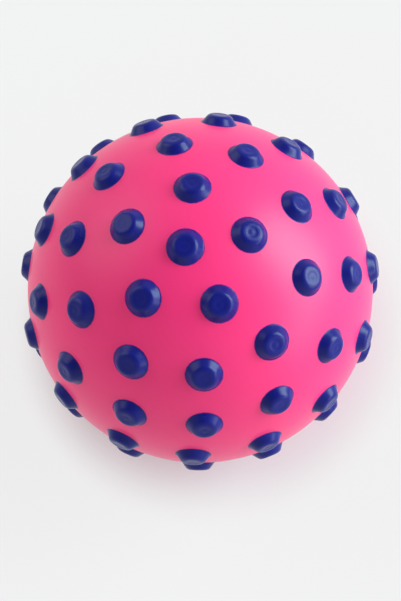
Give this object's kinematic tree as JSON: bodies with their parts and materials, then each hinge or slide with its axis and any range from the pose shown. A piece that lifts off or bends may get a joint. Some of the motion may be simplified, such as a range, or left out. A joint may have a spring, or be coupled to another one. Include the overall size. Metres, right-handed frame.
{
  "type": "knobbly play ball",
  "caption": "Hollow soft vinyl play ball with rings of raised flat-topped nubs all over its skin and a push-in plug valve recessed in the lower pole.",
  "frame": {"origin": "on the floor under the ball's centre, with the ball standing on the nubs round its valve", "axes": "+Z along the polar axis, from the valve to the opposite pole's nub; +X towards a nub of the first ring round that pole"},
  "size_m": [0.2269, 0.2266, 0.2246],
  "materials": {
    "pink_vinyl": "semi-gloss soft moulded vinyl",
    "blue_vinyl": "semi-gloss coloured vinyl on the nubs",
    "white_vinyl": "satin soft vinyl"
  },
  "bodies": {
    "ball": {"shell": "pink_vinyl", "valve_bush": "white_vinyl"},
    "plug": {"valve_plug": "white_vinyl"}
  },
  "joints": [
    {"name": "plug_pull", "type": "slide", "parent": "ball", "child": "plug", "axis": [0, 0, -1], "range_m": [0, 0.02]}
  ]
}
